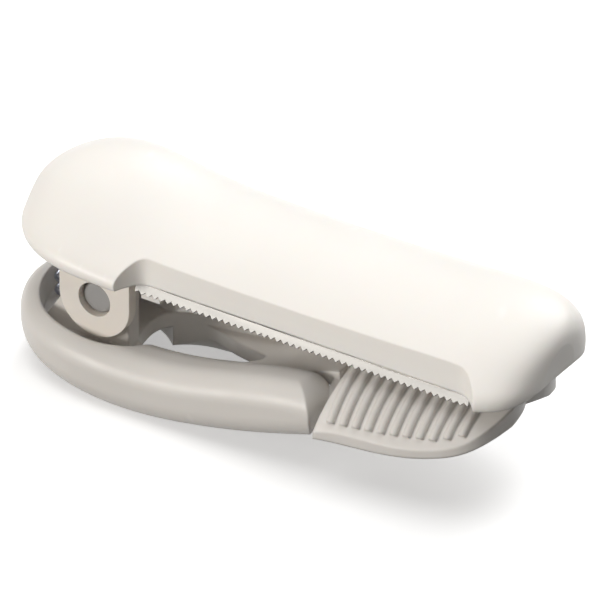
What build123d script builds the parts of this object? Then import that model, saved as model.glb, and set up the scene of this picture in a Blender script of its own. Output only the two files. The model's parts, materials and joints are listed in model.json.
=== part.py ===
from build123d import *
import math
import os

# Clip-on tape cutter. It clamps on the side of a roll of tape.
# Origin: centre of the footprint at the lowest point. +X runs from the handle
# to the jaw tip, -Y is the blade side, +Z is up. All sizes are in millimetres.

# ---------------------------------------------------------------- overall
PIVOT_X = -14.855          # pivot axis in the part's frame
PIVOT_Z = 7.709
CLEAR = 12.0               # from the pivot to a work plane clear of every part

# ---------------------------------------------------------------- top cover
COVER_HALF = 7.7           # half width of the cover
COVER_WAIST = 0.25         # how much the sides draw in at the waist
HANDLE_WAIST = 0.35        # how much more the blade side draws in over the handle
COVER_GIRTH = 4.75         # height of the widest girth above the pivot
COVER_LOW = 3.1            # height of the lower edge above the pivot
HOLLOW_TOP = 4.6           # roof of the cover's hollow
HOLLOW = [
    (-6.9, -2.0), (-5.6, -4.2), (-3.4, -5.4), (3.3, -5.4), (3.9, -3.4), (34.2, -3.4), (36.6, -1.6),
    (36.6, 2.6), (35.0, 5.2), (30.0, 5.9), (-1.0, 5.9), (-3.4, 5.4), (-5.6, 4.2), (-6.9, 2.0),
]
FRAME_SUNK = 0.1
FRAME_PLAY = 0.02
FRAME_THICK = 1.2
REST_GAP = 0.03            # play between the closed shoe and its rib
REST_X = 29.5
REST_LONG = 11.0
REST_WIDE = 2.0
NOTCH_Y = -4.2             # where the blade and its clamp pass the frame
NOTCH_WIDE = 3.0
LEFT_TIP = -8.35           # ends of the cover, measured from the pivot
RIGHT_TIP = 38.65
LEFT_MID = 0.3             # where the left dome reaches full width
RIGHT_MID = 27.5           # where the right end starts to round off

# ---------------------------------------------------------------- blade
BLADE_START = 5.4          # straight part of the blade recess
BLADE_END = 33.0
RECESS_Y = -5.25           # upright face of the recess
RECESS_CUT = -13.0         # clear of the cover's side
BLADE_LEAN = 64.0          # blade angle below the horizontal
BLADE_THICK = 0.3
CLAMP_THICK = 0.9
BLADE_TALL = 2.4
BLADE_SHOWN = 1.0          # what stands below the recess
BLADE_Y = -4.95            # blade face at the cover's lower edge
BLADE_GAP = 0.16           # open line between the blade and the recess
BLADE_MID = 19.05          # middle of the blade's seat
SEAT_LONG = 30.5
SEAT_TALL = 1.9
SEAT_UP = 0.65             # middle of the seat above the cover's lower edge
SEAT_PLAY = 0.02
BLADE_HOLES = (9.0, 19.2, 29.4)
BLADE_HOLE_RADIUS = 0.35
BLADE_PEG = 0.8            # pegs above the cover's lower edge
PEG_RADIUS = 0.33
CLAMP_LONG = 29.0
CLAMP_TALL = 1.4
CLAMP_UP = 0.78
FOOT_AT = (4.75, -3.9)     # foot of the clamp, below the blade's left end
FOOT_SIZE = (1.7, 0.95)
FOOT_LOW = 1.15
FOOT_TALL = 2.1
TOOTH_PITCH = 0.586
TOOTH_DEPTH = 0.27
TOOTH_COUNT = 50
TOOTH_FIRST = 4.3
BLADE_MARGIN = 0.35        # plain metal past the first and last tooth

# ---------------------------------------------------------------- pivot
EAR_RADIUS = 3.2
EAR_OUT = 5.0              # outer face of the cover's ears
EAR_THICK = 0.9
EAR_ROOT = 0.5             # how far the ears and the rib reach into the frame
PIN_RADIUS = 1.4
PIN_ROUND = 0.35
PIN_CLEAR = 0.05
PIN_RECESS = 0.45          # pin end below the ear face
CHEEK_OUT = 3.95           # outer face of the lever's cheeks
CHEEK_THICK = 1.5

# ---------------------------------------------------------------- lever
RING_HALF = 7.8            # half width of the ring handle
RING_LEFT = -8.9
RIM_END = 21.3             # free end of the two rims
RIM_END_HALF = 7.75
RIM_ROUND = 1.9
SPACE_LEFT = 2.0           # pivot end of the space between the rims
SPACE_LONG = 26.5          # runs out past the rims' free ends
INNER_HALF = 3.25
RIM_INSIDE = 1.75
WEB_TOP = [(3.0, -5.1), (9.0, -4.4), (12.5, -3.6), (17.0, -1.6), (21.4, 0.1)]
WEB_THICK = 1.2
WEB_ROOT = 0.3             # how far the web reaches into the rims
OPENING = [
    (1.6, 0), (2.6, 2.6), (4.6, 3.2), (8.3, 1.9), (12.2, 0), (8.3, -1.9), (4.6, -3.2), (2.6, -2.6),
]
WELL_FLOOR = -4.2          # sunk floor inside the ring, round the pivot
FLOOR_THICK = 1.3
GRIP_HOLLOW = (4.6, 4.4)   # half axes of the hollow under the floor
GRIP_HOLLOW_X = -1.6
WELL_BRIM = -0.4           # level of the spread outline, above the ring
WELL_SPREAD = 1.38
WELL = [(-7.1, 0), (-6.3, 2.6), (-4.4, 4.4), (-1.8, 5.3), (1.8, 5.4), (4.2, 4.3), (5.4, 2.4), (5.8, 0)]
CHEEK_RIGHT = 2.4
CHEEK_TURN = 152           # the cheek's crown ends here and slopes to the floor
CHEEK_LEFT = -5.6
CHEEK_ROOT = -5.0
EAR_CLEAR = 0.2
RING_TOP = [(-8.9, -1.4), (-4.0, -2.2), (2.0, -2.7), (8.6, -2.3), (14.9, -0.9), (21.3, 0.1)]
RING_BOTTOM = [(21.3, -4.1), (15.6, -5.8), (10.2, -7.0), (4.0, -7.7), (-3.0, -7.1), (-8.9, -5.5)]

# ---------------------------------------------------------------- jaw shoe
SHOE_RADIUS = 9.0          # outside radius of the arched shoe
SHOE_TOP = 1.8             # crown of the arch above the pivot
SHOE_THICK = 1.5
RIB_RADIUS = 0.34
RIB_PITCH = 1.075
RIB_COUNT = 11
RIB_START = 23.0
TONGUE_HALF = 5.2          # the tongue is an arch under the shoe
TONGUE_THICK = 1.3
TONGUE_REACH = 2.4         # its edges end above this depth
TONGUE_LEFT = 20.9
TONGUE_END = 30.0
SHOE_LEFT = 21.75
SHOE_TIP = 36.7
SHOE_EDGE = [(21.75, -7.9), (27.5, -7.5), (32.0, -6.95), (34.4, -6.0), (35.7, -4.4), (35.8, 0)]
SHOE_LOW = [(20, -3.6), (27.5, -3.05), (32.2, -2.15), (34.8, -1.15), (36.0, -0.35), (37.5, 1.0)]
RIB_LIFT = 2.14            # crown of the ribs above the pivot
RIB_INSET = 0.5            # smooth border outside the ends of the ribs

# ---------------------------------------------------------------- spring
SPRING_X = -5.0
SPRING_RADIUS = 1.55       # to the wire centre
SPRING_WIRE = 0.36
SPRING_FOOT = WELL_FLOOR
SPRING_HEAD = 3.2
SPRING_TURNS = 6
SPRING_PLAY = 0.02         # at the foot and at the head
BOSS_TALL = 1.2            # boss on the frame that holds the spring's head
BOSS_PLAY = 0.3

os.makedirs("parts", exist_ok=True)

# ---------------------------------------------------------------- work planes
PLAN = Plane(origin=(PIVOT_X, 0, PIVOT_Z))
SIDE = Plane(origin=(PIVOT_X, 0, PIVOT_Z), x_dir=(1, 0, 0), z_dir=(0, -1, 0))
BLADE_FACE = Plane(
    origin=(PIVOT_X, BLADE_Y, PIVOT_Z + COVER_LOW),
    x_dir=(1, 0, 0),
    z_dir=(0, -math.sin(math.radians(BLADE_LEAN)), math.cos(math.radians(BLADE_LEAN))),
)


# ======================================================================
# Top cover: a soft white shell, a dome over the handle, a shallow waist
# and a blunt rounded nose.
# ======================================================================
def end_factor(x, power_left, power_right=3.6):
    """How much of its full section the cover has left at x."""
    if x < LEFT_MID:
        away = (LEFT_MID - x) / (LEFT_MID - LEFT_TIP)
        return max(0.0, 1 - away**power_left) ** (1 / power_left)
    if x > RIGHT_MID:
        away = (x - RIGHT_MID) / (RIGHT_TIP - RIGHT_MID)
        return max(0.0, 1 - away**power_right) ** (1 / power_right)
    return 1.0


def crest_height(x):
    """Height of the cover's ridge over the pivot: bulb, waist, nose."""
    bulb = 1.4 * math.exp(-(((x + 2.4) / 6.0) ** 2))
    nose = 0.6 * math.exp(-(((x - 36.0) / 7.0) ** 2))
    return 7.65 + bulb + nose


def low_edge(x):
    """Lower edge: level, lifting a little round the left dome."""
    return COVER_LOW + 0.75 * max(0.0, (1.0 - x) / 9.3) ** 1.2


def cover_section(x):
    """Cross-section of the cover: gentle slope to the blade side."""
    keep = end_factor(x, 2.8)
    half = COVER_HALF - COVER_WAIST * math.exp(-(((x - 16.0) / 8.0) ** 2))
    near = (half - HANDLE_WAIST * math.exp(-((x / 6.0) ** 2))) * end_factor(x, 2.2)
    far = half * keep
    low = COVER_GIRTH - (COVER_GIRTH - low_edge(x)) * min(1.0, keep**0.5 + 0.02)
    top = COVER_GIRTH + (crest_height(x) - COVER_GIRTH) * keep**0.8
    rise = top - low
    return [
        (-near * 0.985, low),
        (-near, low + rise * 0.09),
        (-near * 0.86, low + rise * 0.33),
        (-near * 0.60, low + rise * 0.60),
        (-near * 0.25, low + rise * 0.86),
        (far * 0.20, low + rise * 1.0),
        (far * 0.60, low + rise * 0.93),
        (far * 0.88, low + rise * 0.68),
        (far, low + rise * 0.28),
        (far * 0.985, low),
    ]


def station_plane(x):
    return Plane(origin=(PIVOT_X + x, 0, PIVOT_Z), x_dir=(0, 1, 0), z_dir=(1, 0, 0))


COVER_STATIONS = [-8.32, -8.05, -7.4, -6.2, -4.6, -2.4, 0.3, 4.0, 9.0, 14.0, 19.0, 24.0, 28.0]
COVER_STATIONS += [31.3, 34.0, 36.0, 37.3, 38.1, 38.45, 38.61]

with BuildPart() as top_cover:
    for station in COVER_STATIONS:
        with BuildSketch(station_plane(station)):
            with BuildLine():
                rim = cover_section(station)
                Spline(*rim)
                Line(rim[-1], rim[0])
            make_face()
    loft()

    # recess for the blade, with a soft corner at each end
    with BuildSketch(PLAN.offset(COVER_LOW - 1.0)):
        with BuildLine():
            Line((BLADE_START, RECESS_Y), (BLADE_END, RECESS_Y))
            Spline(
                (BLADE_END, RECESS_Y), (BLADE_END + 1.7, RECESS_Y - 0.85),
                (BLADE_END + 2.9, RECESS_Y - 2.6),
                tangents=((1, 0), (0.3, -1)),
            )
            Polyline(
                (BLADE_END + 2.9, RECESS_Y - 2.6), (BLADE_END + 2.9, RECESS_CUT),
                (BLADE_START - 2.1, RECESS_CUT), (BLADE_START - 2.1, RECESS_Y - 2.6),
            )
            Spline(
                (BLADE_START - 2.1, RECESS_Y - 2.6), (BLADE_START - 1.35, RECESS_Y - 0.8),
                (BLADE_START, RECESS_Y),
                tangents=((0.2, 1), (1, 0)),
            )
        make_face()
    extrude(amount=CLEAR, mode=Mode.SUBTRACT)

    # hollow underside that takes the frame and the blade
    with BuildSketch(PLAN):
        with BuildLine():
            Polyline(*HOLLOW, close=True)
        make_face()
    extrude(amount=HOLLOW_TOP, mode=Mode.SUBTRACT)

    # slanted slot for the blade and its clamp
    with BuildSketch(BLADE_FACE.offset(BLADE_GAP)):
        with Locations((BLADE_MID, SEAT_UP)):
            Rectangle(SEAT_LONG, SEAT_TALL)
    extrude(amount=-(BLADE_GAP + BLADE_THICK + CLAMP_THICK + SEAT_PLAY), mode=Mode.SUBTRACT)

top_cover.part.label = "top_cover"
export_step(top_cover.part, "parts/top_cover.step")


# ======================================================================
# Frame: fills the underside, carries the ears, the blade seat and the rib
# that the jaw closes on.
# ======================================================================
with BuildPart() as inner_frame:
    with BuildSketch(PLAN.offset(COVER_LOW + FRAME_SUNK)):
        with BuildLine():
            Polyline(*HOLLOW, close=True)
        make_face()
        offset(amount=-FRAME_PLAY)
    extrude(amount=FRAME_THICK)
    # the blade and its clamp pass in front of the frame
    with BuildSketch(PLAN.offset(COVER_LOW)):
        with Locations((BLADE_MID, NOTCH_Y)):
            Rectangle(SEAT_LONG + 0.4, NOTCH_WIDE)
    extrude(amount=HOLLOW_TOP, mode=Mode.SUBTRACT)
    # ears
    for side in (-1, 1):
        with BuildSketch(SIDE.offset(-side * EAR_OUT)):
            with BuildLine():
                Line((-EAR_RADIUS, COVER_LOW + EAR_ROOT), (-EAR_RADIUS, 0))
                CenterArc((0, 0), EAR_RADIUS, 180, 180)
                Line((EAR_RADIUS, 0), (EAR_RADIUS, COVER_LOW + EAR_ROOT))
                Line((EAR_RADIUS, COVER_LOW + EAR_ROOT), (-EAR_RADIUS, COVER_LOW + EAR_ROOT))
            make_face()
            Circle(PIN_RADIUS + PIN_CLEAR, mode=Mode.SUBTRACT)
        extrude(amount=side * EAR_THICK)
    # rib that the jaw shoe closes on
    with BuildSketch(PLAN.offset(RIB_LIFT + REST_GAP)):
        with Locations((REST_X, 0)):
            SlotOverall(REST_LONG, REST_WIDE)
    extrude(amount=COVER_LOW + EAR_ROOT - RIB_LIFT)
    # boss inside the spring
    with BuildSketch(PLAN.offset(SPRING_HEAD - BOSS_TALL)):
        with Locations((SPRING_X, 0)):
            Circle(SPRING_RADIUS - SPRING_WIRE / 2 - BOSS_PLAY)
    extrude(amount=BOSS_TALL + EAR_ROOT)

inner_frame.part.label = "inner_frame"
export_step(inner_frame.part, "parts/inner_frame.step")


# ======================================================================
# Blade: a thin steel strip with a saw edge, leaning out under the recess.
# ======================================================================
with BuildPart() as cutting_blade:
    first = TOOTH_FIRST
    with BuildSketch(BLADE_FACE):
        with BuildLine():
            blade_top = BLADE_TALL - BLADE_SHOWN
            edge = [(first - BLADE_MARGIN, blade_top), (first - BLADE_MARGIN, -BLADE_SHOWN + 0.1)]
            for tooth in range(TOOTH_COUNT):
                left = first + tooth * TOOTH_PITCH
                edge.append((left, -BLADE_SHOWN + TOOTH_DEPTH))
                edge.append((left + TOOTH_PITCH / 2, -BLADE_SHOWN))
            last = first + TOOTH_COUNT * TOOTH_PITCH
            edge.append((last, -BLADE_SHOWN + TOOTH_DEPTH))
            edge.append((last + BLADE_MARGIN, -BLADE_SHOWN + 0.1))
            edge.append((last + BLADE_MARGIN, blade_top))
            Polyline(*edge, close=True)
        make_face()
        # holes for the clamp's pegs
        for hole in BLADE_HOLES:
            with Locations((hole, BLADE_PEG)):
                Circle(BLADE_HOLE_RADIUS, mode=Mode.SUBTRACT)
    extrude(amount=-BLADE_THICK)

cutting_blade.part.label = "cutting_blade"
export_step(cutting_blade.part, "parts/cutting_blade.step")


# ======================================================================
# Blade clamp: a bar behind the blade with pegs through it and a foot that
# shows under the blade's left end.
# ======================================================================
with BuildPart() as blade_clamp:
    with BuildSketch(BLADE_FACE.offset(-BLADE_THICK)):
        with Locations((BLADE_MID, CLAMP_UP)):
            Rectangle(CLAMP_LONG, CLAMP_TALL)
    extrude(amount=-CLAMP_THICK)
    with BuildSketch(BLADE_FACE.offset(-BLADE_THICK)):
        with Locations([(hole, BLADE_PEG) for hole in BLADE_HOLES]):
            Circle(PEG_RADIUS)
    extrude(amount=BLADE_THICK)
    with BuildSketch(PLAN.offset(FOOT_LOW)):
        with Locations(FOOT_AT):
            Rectangle(*FOOT_SIZE)
    extrude(amount=FOOT_TALL)

blade_clamp.part.label = "blade_clamp"
export_step(blade_clamp.part, "parts/blade_clamp.step")


# ======================================================================
# Lever: oval ring handle, two cheeks for the pin, web and tongue.
# ======================================================================
def is_inner_rim_edge(edge):
    """The long edges round the space between the rims, top and bottom."""
    middle = edge.center()
    flat = abs(edge.tangent_at(0.5).Z) < 0.8
    return flat and abs(middle.Y) < INNER_HALF + 0.2 and PIVOT_X < middle.X < PIVOT_X + RIM_END - 0.3


with BuildPart() as lever_handle:
    # ring outline in plan
    with BuildSketch(PLAN.offset(-CLEAR)):
        with BuildLine():
            Line((RIM_END, -RIM_END_HALF), (RIM_END, RIM_END_HALF))
            Spline(
                (RIM_END, RIM_END_HALF), (12.0, RING_HALF), (3.0, RING_HALF),
                (RING_LEFT + 3.0, 5.7), (RING_LEFT, 0), (RING_LEFT + 3.0, -5.7),
                (3.0, -RING_HALF), (12.0, -RING_HALF), (RIM_END, -RIM_END_HALF),
                tangents=((-1, 0.02), (1, 0.02)),
            )
        make_face()
    extrude(amount=2 * CLEAR)
    # side profile: low in the middle, rising to both ends
    with BuildSketch(SIDE.offset(CLEAR)):
        with BuildLine():
            Spline(*RING_TOP)
            Line(RING_TOP[-1], RING_BOTTOM[0])
            Spline(*RING_BOTTOM)
            Line(RING_BOTTOM[-1], RING_TOP[0])
        make_face()
    extrude(amount=-2 * CLEAR, mode=Mode.INTERSECT)
    # soft outside
    outside = lever_handle.edges().filter_by(lambda e: e.length > 8)
    fillet(outside, radius=RIM_ROUND)

    # space between the two rims, rounded at the pivot end
    with BuildSketch(PLAN.offset(-CLEAR)):
        with Locations((SPACE_LEFT + SPACE_LONG / 2, 0)):
            SlotOverall(SPACE_LONG, 2 * INNER_HALF)
    extrude(amount=2 * CLEAR, mode=Mode.SUBTRACT)
    inner_edges = lever_handle.edges().filter_by(is_inner_rim_edge)
    fillet(inner_edges, radius=RIM_INSIDE)
    # sunk floor round the pivot, with walls that slope outwards
    for level, spread in ((WELL_FLOOR, 1.0), (WELL_BRIM, WELL_SPREAD)):
        with BuildSketch(PLAN.offset(level)):
            with BuildLine():
                border = [(x, y * spread) for x, y in WELL]
                Spline(*border, *[(x, -y) for x, y in reversed(border[1:-1])], periodic=True)
            make_face()
    loft(mode=Mode.SUBTRACT)
    # thin web between the rims, climbing to the tongue
    with BuildSketch(SIDE.offset(INNER_HALF + WEB_ROOT)):
        with BuildLine():
            Spline(*WEB_TOP)
            Line(WEB_TOP[-1], (WEB_TOP[-1][0], WEB_TOP[-1][1] - WEB_THICK))
            Spline(*[(x, z - WEB_THICK) for x, z in reversed(WEB_TOP)])
            Line((WEB_TOP[0][0], WEB_TOP[0][1] - WEB_THICK), WEB_TOP[0])
        make_face()
    extrude(amount=-2 * (INNER_HALF + WEB_ROOT))
    # oval finger opening in the web
    with BuildSketch(PLAN.offset(-CLEAR)):
        with BuildLine():
            Spline(*OPENING, periodic=True)
        make_face()
    extrude(amount=2 * CLEAR, mode=Mode.SUBTRACT)
    # hollow underside of the grip
    with BuildSketch(PLAN.offset(-CLEAR)):
        with Locations((GRIP_HOLLOW_X, 0)):
            Ellipse(*GRIP_HOLLOW)
    extrude(amount=CLEAR + WELL_FLOOR - FLOOR_THICK, mode=Mode.SUBTRACT)
    # cheeks that carry the pin
    for side in (-1, 1):
        with BuildSketch(SIDE.offset(-side * CHEEK_OUT)):
            with BuildLine():
                Line((CHEEK_RIGHT, CHEEK_ROOT), (CHEEK_RIGHT, 0))
                crown = CenterArc((0, 0), CHEEK_RIGHT, 0, CHEEK_TURN)
                Polyline(
                    crown @ 1, (CHEEK_LEFT, WELL_FLOOR), (CHEEK_LEFT, CHEEK_ROOT), (CHEEK_RIGHT, CHEEK_ROOT)
                )
            make_face()
        extrude(amount=side * CHEEK_THICK)
    # room for the ears to turn beside the cheeks
    for side in (-1, 1):
        with BuildSketch(SIDE.offset(-side * CHEEK_OUT)):
            Circle(EAR_RADIUS + EAR_CLEAR)
        extrude(amount=-side * (EAR_OUT + EAR_CLEAR - CHEEK_OUT), mode=Mode.SUBTRACT)
    with BuildSketch(SIDE):
        Circle(PIN_RADIUS)
    extrude(amount=CLEAR, both=True, mode=Mode.SUBTRACT)
    # tongue under the shoe
    with BuildSketch(station_plane(TONGUE_LEFT)):
        with Locations((0, SHOE_TOP - SHOE_RADIUS)):
            Circle(SHOE_RADIUS - SHOE_THICK)
            Circle(SHOE_RADIUS - SHOE_THICK - TONGUE_THICK, mode=Mode.SUBTRACT)
        Rectangle(2 * TONGUE_HALF, 2 * TONGUE_REACH, mode=Mode.INTERSECT)
    extrude(amount=TONGUE_END - TONGUE_LEFT)

lever_handle.part.label = "lever_handle"
export_step(lever_handle.part, "parts/lever_handle.step")


# ======================================================================
# Jaw shoe: an arched pad whose ribs run round the inside of the roll.
# ======================================================================
def shoe_outline():
    """Plan outline of the shoe: blunt tip, and a hollow curve at the slot."""
    Spline(*[(x, -y) for x, y in SHOE_EDGE])
    Spline(*SHOE_EDGE)
    left, edge = SHOE_EDGE[0]
    ThreePointArc((left, edge), (left + 0.9, 0), (left, -edge))


def edge_at(x):
    """Half width of the shoe at x, straight between the outline's points."""
    for (x0, y0), (x1, y1) in zip(SHOE_EDGE, SHOE_EDGE[1:]):
        if x <= x1:
            return -(y0 + (y1 - y0) * (x - x0) / (x1 - x0))


with BuildPart() as jaw_shoe:
    with BuildSketch(station_plane(SHOE_LEFT)):
        with Locations((0, SHOE_TOP - SHOE_RADIUS)):
            Circle(SHOE_RADIUS)
            Circle(SHOE_RADIUS - SHOE_THICK, mode=Mode.SUBTRACT)
    extrude(amount=SHOE_TIP - SHOE_LEFT)
    with BuildSketch(PLAN.offset(-CLEAR)):
        with BuildLine():
            shoe_outline()
        make_face()
    extrude(amount=2 * CLEAR, mode=Mode.INTERSECT)
    with BuildSketch(SIDE.offset(CLEAR)):
        with BuildLine():
            Spline(*SHOE_LOW)
            Polyline(SHOE_LOW[-1], (SHOE_TIP + 1, 3), (20, 3), SHOE_LOW[0])
        make_face()
    extrude(amount=-2 * CLEAR, mode=Mode.INTERSECT)
    # ribs run round the arch and stop short of its edge
    rib_axis = Axis((PIVOT_X, 0, PIVOT_Z + SHOE_TOP - SHOE_RADIUS), (1, 0, 0))
    for rib in range(RIB_COUNT):
        rib_x = RIB_START + rib * RIB_PITCH
        sweep_angle = math.degrees(math.asin((edge_at(rib_x) - RIB_INSET) / SHOE_RADIUS))
        for turn in (sweep_angle, -sweep_angle):
            with BuildSketch(SIDE):
                with Locations((rib_x, RIB_LIFT - RIB_RADIUS)):
                    Circle(RIB_RADIUS)
            revolve(axis=rib_axis, revolution_arc=turn)

jaw_shoe.part.label = "jaw_shoe"
export_step(jaw_shoe.part, "parts/jaw_shoe.step")


# ======================================================================
# Pivot pin and return spring
# ======================================================================
with BuildPart() as pivot_pin:
    with BuildSketch(SIDE.offset(EAR_OUT - PIN_RECESS)):
        Circle(PIN_RADIUS)
    extrude(amount=-2 * (EAR_OUT - PIN_RECESS))
    fillet(pivot_pin.edges().filter_by(GeomType.CIRCLE), radius=PIN_ROUND)

pivot_pin.part.label = "pivot_pin"
export_step(pivot_pin.part, "parts/pivot_pin.step")

with BuildPart() as return_spring:
    tall = SPRING_HEAD - SPRING_FOOT - SPRING_WIRE - 2 * SPRING_PLAY
    with BuildLine() as coil:
        Helix(pitch=tall / SPRING_TURNS, height=tall, radius=SPRING_RADIUS,
              center=(PIVOT_X + SPRING_X, 0, PIVOT_Z + SPRING_FOOT + SPRING_WIRE / 2 + SPRING_PLAY))
    with BuildSketch(Plane(origin=coil.line @ 0, z_dir=coil.line % 0)):
        Circle(SPRING_WIRE / 2)
    sweep(is_frenet=True)

return_spring.part.label = "return_spring"
export_step(return_spring.part, "parts/return_spring.step")
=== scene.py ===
import bpy
import json
import math
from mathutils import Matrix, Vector


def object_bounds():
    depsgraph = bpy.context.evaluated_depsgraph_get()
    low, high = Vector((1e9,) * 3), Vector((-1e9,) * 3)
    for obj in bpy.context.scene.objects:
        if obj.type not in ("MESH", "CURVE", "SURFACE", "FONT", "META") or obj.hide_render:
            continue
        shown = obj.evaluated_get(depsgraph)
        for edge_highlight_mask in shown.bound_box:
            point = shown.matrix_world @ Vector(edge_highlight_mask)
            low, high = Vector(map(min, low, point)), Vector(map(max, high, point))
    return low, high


# Clip-on tape cutter: looks, light, floor and camera. The CAD nodes carry all
# the shapes; lengths are in metres in the part's frame.
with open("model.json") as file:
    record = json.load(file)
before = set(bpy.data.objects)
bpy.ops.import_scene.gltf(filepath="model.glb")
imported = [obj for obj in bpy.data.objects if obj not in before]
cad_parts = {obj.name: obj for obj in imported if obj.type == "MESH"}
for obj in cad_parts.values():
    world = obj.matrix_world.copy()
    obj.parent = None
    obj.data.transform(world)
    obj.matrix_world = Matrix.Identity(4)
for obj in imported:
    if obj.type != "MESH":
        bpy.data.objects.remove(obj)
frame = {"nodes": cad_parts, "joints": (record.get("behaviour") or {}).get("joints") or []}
cad_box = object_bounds()
nodes = frame["nodes"]
scene = bpy.context.scene
MM = 0.001
MIX_FACTOR, MIX_FIRST, MIX_SECOND = 0, 6, 7     # a mix node's colour sockets
MIX_COLOUR_OUT = 2


# ---------------------------------------------------------------- node helpers
def node_tree(name):
    """A new material with its node tree emptied but for shader and output."""
    material = bpy.data.materials.new(name)
    material.use_nodes = True
    tree = material.node_tree
    tree.nodes.clear()
    output = tree.nodes.new("ShaderNodeOutputMaterial")
    shader = tree.nodes.new("ShaderNodeBsdfPrincipled")
    tree.links.new(shader.outputs["BSDF"], output.inputs["Surface"])
    return material, tree, shader


def noise(tree, coordinates, scale, detail=4.0, roughness=0.55):
    """Fractal noise in object space."""
    node = tree.nodes.new("ShaderNodeTexNoise")
    node.inputs["Scale"].default_value = scale
    node.inputs["Detail"].default_value = detail
    node.inputs["Roughness"].default_value = roughness
    tree.links.new(coordinates, node.inputs["Vector"])
    return node.outputs["Fac"]


def ramp(tree, value, stops):
    """Colour ramp from a list of (position, (r, g, b))."""
    node = tree.nodes.new("ShaderNodeValToRGB")
    elements = node.color_ramp.elements
    elements[0].position = stops[0][0]
    elements[0].color = (*stops[0][1], 1)
    elements[1].position = stops[-1][0]
    elements[1].color = (*stops[-1][1], 1)
    for position, colour in stops[1:-1]:
        elements.new(position).color = (*colour, 1)
    tree.links.new(value, node.inputs["Fac"])
    return node.outputs["Color"]


def map_range(tree, value, low, high, to_low, to_high):
    """Linear remap, clamped."""
    node = tree.nodes.new("ShaderNodeMapRange")
    node.inputs["From Min"].default_value = low
    node.inputs["From Max"].default_value = high
    node.inputs["To Min"].default_value = to_low
    node.inputs["To Max"].default_value = to_high
    tree.links.new(value, node.inputs["Value"])
    return node.outputs["Result"]


def mix(tree, factor, first, second):
    """Mix of two colours."""
    node = tree.nodes.new("ShaderNodeMix")
    node.data_type = "RGBA"
    for source, target in ((factor, MIX_FACTOR), (first, MIX_FIRST), (second, MIX_SECOND)):
        if isinstance(source, (int, float)):
            node.inputs[target].default_value = source
        elif isinstance(source, tuple):
            node.inputs[target].default_value = (*source, 1)
        else:
            tree.links.new(source, node.inputs[target])
    return node.outputs[MIX_COLOUR_OUT]


def object_coordinates(tree):
    """Object-space coordinates."""
    return tree.nodes.new("ShaderNodeTexCoord").outputs["Object"]


# noise scales, in waves per metre
BROAD, SMEAR, SPECK = 55.0, 420.0, 2600.0
SCRATCH, STAIN = 900.0, 160.0


def moulded_plastic(name, pale, deep, edge_highlight, grain, rough, bevel, translucence):
    """Fine-grained moulded plastic: mottled colour, painted highlight on convex edges, spark
    texture.
    """
    material, tree, shader = node_tree(name)
    place = object_coordinates(tree)
    broad = noise(tree, place, BROAD, 3.0)
    speck = noise(tree, place, SPECK, 2.0)
    smear = noise(tree, place, SMEAR, 5.0, 0.6)

    body = ramp(tree, broad, [(0.3, deep), (0.7, pale)])
    body = mix(tree, map_range(tree, speck, 0.35, 0.7, 0.0, 0.16), body, deep)
    # painted highlight: convex edges (high pointiness) are mixed towards the lighter edge colour
    geometry = tree.nodes.new("ShaderNodeNewGeometry")
    edge_highlight_mask = map_range(tree, geometry.outputs["Pointiness"], 0.52, 0.62, 0.0, 0.45)
    body = mix(tree, edge_highlight_mask, body, edge_highlight)
    tree.links.new(body, shader.inputs["Base Color"])

    shine = map_range(tree, smear, 0.3, 0.7, rough - 0.05, rough + 0.07)
    tree.links.new(shine, shader.inputs["Roughness"])

    rounded = tree.nodes.new("ShaderNodeBevel")
    rounded.samples = 6
    rounded.inputs["Radius"].default_value = bevel
    texture = tree.nodes.new("ShaderNodeBump")
    texture.inputs["Strength"].default_value = 0.22
    texture.inputs["Distance"].default_value = grain
    tree.links.new(speck, texture.inputs["Height"])
    tree.links.new(rounded.outputs["Normal"], texture.inputs["Normal"])
    tree.links.new(texture.outputs["Normal"], shader.inputs["Normal"])

    shader.inputs["IOR"].default_value = 1.49
    shader.inputs["Subsurface Weight"].default_value = translucence
    shader.inputs["Subsurface Radius"].default_value = (1.0, 0.6, 0.35)
    shader.inputs["Subsurface Scale"].default_value = 0.6 * MM
    return material


def ground_steel(name, pale, dark, rough, stretch):
    """Steel with fine grinding lines; stretch scales the noise along X, Y and Z."""
    material, tree, shader = node_tree(name)
    place = object_coordinates(tree)
    lines = tree.nodes.new("ShaderNodeMapping")
    lines.inputs["Scale"].default_value = stretch
    tree.links.new(place, lines.inputs["Vector"])
    scratch = noise(tree, lines.outputs["Vector"], SCRATCH, 5.0, 0.65)
    stain = noise(tree, place, STAIN, 3.0)

    metal = ramp(tree, scratch, [(0.3, dark), (0.65, pale)])
    metal = mix(tree, map_range(tree, stain, 0.45, 0.75, 0.0, 0.25), metal, dark)
    tree.links.new(metal, shader.inputs["Base Color"])
    shine = map_range(tree, scratch, 0.3, 0.7, rough - 0.06, rough + 0.1)
    tree.links.new(shine, shader.inputs["Roughness"])
    relief = tree.nodes.new("ShaderNodeBump")
    relief.inputs["Strength"].default_value = 0.25
    relief.inputs["Distance"].default_value = 0.01 * MM
    tree.links.new(scratch, relief.inputs["Height"])
    tree.links.new(relief.outputs["Normal"], shader.inputs["Normal"])
    shader.inputs["Metallic"].default_value = 1.0
    return material
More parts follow.
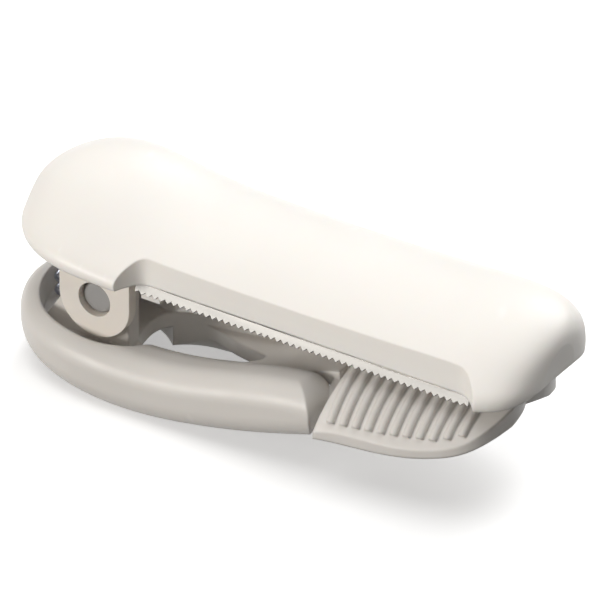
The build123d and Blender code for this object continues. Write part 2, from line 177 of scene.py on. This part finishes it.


# ---------------------------------------------------------------- materials
# the third colour of each plastic is its painted edge highlight
WHITE = moulded_plastic(
    "white_plastic", (0.93, 0.902, 0.858), (0.905, 0.875, 0.828), (0.96, 0.945, 0.91),
    0.02 * MM, 0.42, 0.25 * MM, 0.12,
)
# inner frame: a darker, beige copy of the white plastic, painted shade for the ears and lug
WHITE_PAINTED_SHADE = moulded_plastic(
    "white_plastic_painted_shade", (0.86, 0.80, 0.735), (0.82, 0.76, 0.69), (0.90, 0.86, 0.80),
    0.02 * MM, 0.45, 0.12 * MM, 0.15,
)
GREY = moulded_plastic(
    "grey_plastic", (0.72, 0.695, 0.66), (0.68, 0.655, 0.62), (0.80, 0.775, 0.745),
    0.03 * MM, 0.40, 0.34 * MM, 0.10,
)
# pivot pin: a darker copy of the lever's grey plastic, painted shade for the pin end deep in the
# ear's hole
PIN_GREY_PAINTED_SHADE = moulded_plastic(
    "grey_plastic_painted_shade", (0.36, 0.355, 0.35), (0.31, 0.305, 0.30), (0.45, 0.445, 0.44),
    0.02 * MM, 0.36, 0.10 * MM, 0.0,
)
CLAMP = moulded_plastic(
    "clamp_plastic", (0.80, 0.775, 0.74), (0.76, 0.735, 0.70), (0.86, 0.84, 0.81),
    0.02 * MM, 0.42, 0.10 * MM, 0.10,
)
STEEL = ground_steel("blade_steel", (0.36, 0.357, 0.347), (0.25, 0.245, 0.235), 0.5, (0.06, 1, 1))
WIRE = ground_steel("spring_steel", (0.62, 0.66, 0.74), (0.36, 0.38, 0.44), 0.28, (1, 1, 0.2))

for node_name, material in (
    ("top_cover", WHITE),
    ("inner_frame", WHITE_PAINTED_SHADE),
    ("cutting_blade", STEEL),
    ("blade_clamp", CLAMP),
    ("lever_handle", GREY),
    ("jaw_shoe", GREY),
    ("pivot_pin", PIN_GREY_PAINTED_SHADE),
    ("return_spring", WIRE),
):
    mesh = nodes[node_name].data
    mesh.materials.clear()
    mesh.materials.append(material)


# ---------------------------------------------------------------- floor and light
scene.view_settings.view_transform = "Standard"
low, high = cad_box
centre = Vector([(a + b) / 2 for a, b in zip(low, high)])

FLOOR_REACH = 1.5
FLOOR_DROP = 0.1 * MM      # keeps the floor clear of the lowest point
floor_mesh = bpy.data.meshes.new("floor")
floor_mesh.from_pydata(
    [(x * FLOOR_REACH, y * FLOOR_REACH, 0) for x, y in ((-1, -1), (1, -1), (1, 1), (-1, 1))],
    [],
    [(0, 1, 2, 3)],
)
floor = bpy.data.objects.new("floor", floor_mesh)
floor.location.z = low[2] - FLOOR_DROP
scene.collection.objects.link(floor)
floor_material, floor_tree, floor_shader = node_tree("pale_floor")
floor_shader.inputs["Base Color"].default_value = (0.95, 0.95, 0.95, 1)
floor_shader.inputs["Roughness"].default_value = 0.9
floor_shader.inputs["Specular IOR Level"].default_value = 0.1
floor_shader.inputs["Emission Color"].default_value = (1, 1, 1, 1)
floor_shader.inputs["Emission Strength"].default_value = 0.4
floor_mesh.materials.append(floor_material)
floor.visible_diffuse = False

# the lamps' watts, and the strength of the world's light
LIGHTS = {"world": 0.08, "top": 1.5, "low": 1.35, "front": 0.3, "back": 2.0}
WARM = (1.0, 0.965, 0.925)
TINTS = {"low": WARM, "front": WARM}
LAMP_DISTANCE = 0.5

world = bpy.data.worlds.new("studio")
scene.world = world
world.use_nodes = True
world.node_tree.nodes["Background"].inputs["Color"].default_value = (1.0, 0.965, 0.92, 1)
world.node_tree.nodes["Background"].inputs["Strength"].default_value = LIGHTS["world"]


def softbox(name, azimuth, elevation, size):
    """Square area light aimed at the object; azimuth counts from -Y towards +X."""
    turn, rise = math.radians(azimuth), math.radians(elevation)
    away = Vector((
        math.sin(turn) * math.cos(rise),
        -math.cos(turn) * math.cos(rise),
        math.sin(rise),
    ))
    light = bpy.data.lights.new(name, "AREA")
    light.size = size
    light.energy = LIGHTS[name]
    light.color = TINTS.get(name, (1, 1, 1))
    lamp = bpy.data.objects.new(name, light)
    lamp.location = centre + away * LAMP_DISTANCE
    lamp.rotation_euler = (-away).to_track_quat("-Z", "Y").to_euler()
    scene.collection.objects.link(lamp)


softbox("top", 0, 85, 0.5)
softbox("front", 10, 25, 0.3)
softbox("low", -30, 9, 0.15)
softbox("back", 180, 40, 0.35)


# ---------------------------------------------------------------- camera
AZIMUTH, ELEVATION = math.radians(33.1), math.radians(31.9)
DISTANCE = 1.0
SENSOR = 36.0              # sensor width in millimetres
VIEW_WIDTH = 45.8 * MM     # width seen at the object
EAR_FACE = -5.0 * MM       # outer face of the near ear
AIM_RIGHT = 15.7 * MM      # the view's middle, to the right of the ear's hole
AIM_UP = -0.02 * MM

back = Vector((
    math.sin(AZIMUTH) * math.cos(ELEVATION),
    -math.cos(AZIMUTH) * math.cos(ELEVATION),
    math.sin(ELEVATION),
))
pivot = frame["joints"][0]["pos_m"]
ear_hole = Vector((pivot[0], EAR_FACE, pivot[2]))
right = Vector((math.cos(AZIMUTH), math.sin(AZIMUTH), 0))
up = back.cross(right)
target = ear_hole + right * AIM_RIGHT + up * AIM_UP

camera = bpy.data.cameras.new("camera")
camera.sensor_width = SENSOR
camera.lens = SENSOR * DISTANCE / VIEW_WIDTH
camera.clip_end = 20.0
eye = bpy.data.objects.new("camera", camera)
eye.location = target + back * DISTANCE
eye.rotation_euler = (-back).to_track_quat("-Z", "Y").to_euler()
scene.collection.objects.link(eye)
scene.camera = eye
